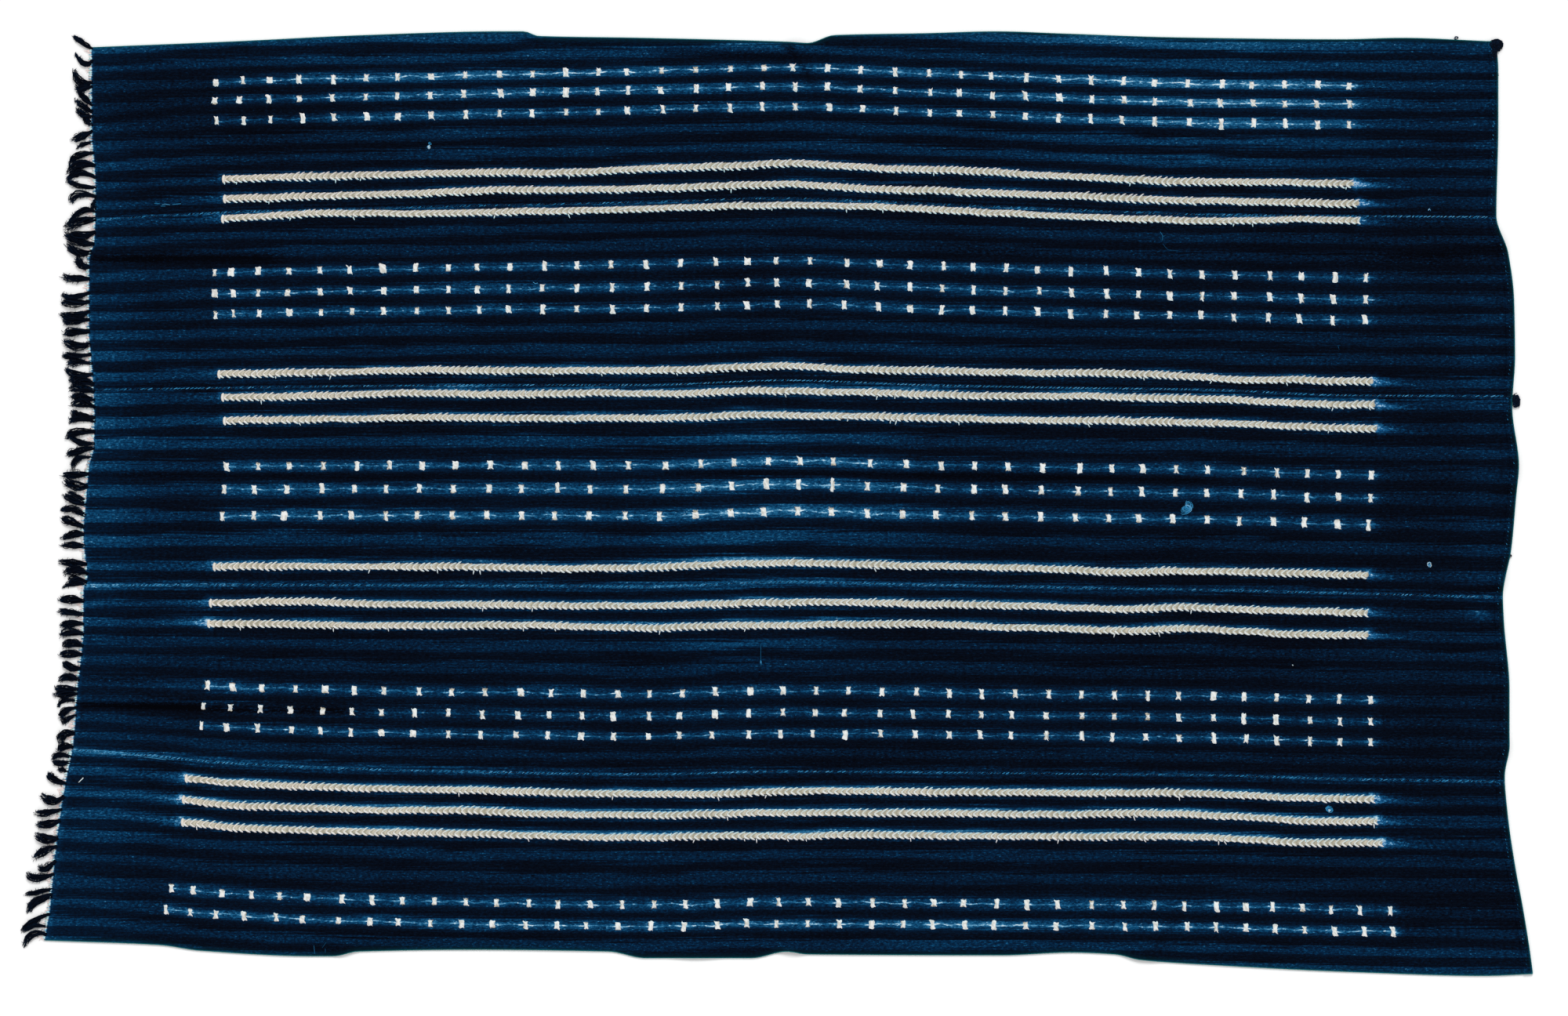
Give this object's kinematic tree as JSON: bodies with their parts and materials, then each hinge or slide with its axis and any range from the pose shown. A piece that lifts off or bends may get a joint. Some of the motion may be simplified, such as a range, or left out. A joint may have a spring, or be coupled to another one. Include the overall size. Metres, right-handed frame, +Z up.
{
  "type": "adire indigo cloth with fringe",
  "caption": "Hand-loomed indigo resist-dyed cloth of sewn strips, laid flat, with a short fringe at one end and a narrow hem at the other.",
  "frame": {"origin": "on the floor, under the middle of the cloth's outline", "axes": "+X along the warp from the fringe to the hem, +Y across the panels towards the first panel, +Z up from the floor"},
  "size_m": [1.6172, 1.012, 0.0069],
  "materials": {
    "indigo_cotton": "matte",
    "fringe_yarn": "matte"
  },
  "bodies": {
    "root": {"panel_1": "indigo_cotton", "panel_2": "indigo_cotton", "panel_3": "indigo_cotton", "panel_4": "indigo_cotton", "panel_5": "indigo_cotton", "fringe_1": "fringe_yarn", "fringe_2": "fringe_yarn", "fringe_3": "fringe_yarn", "fringe_4": "fringe_yarn", "fringe_5": "fringe_yarn"}
  },
  "joints": []
}
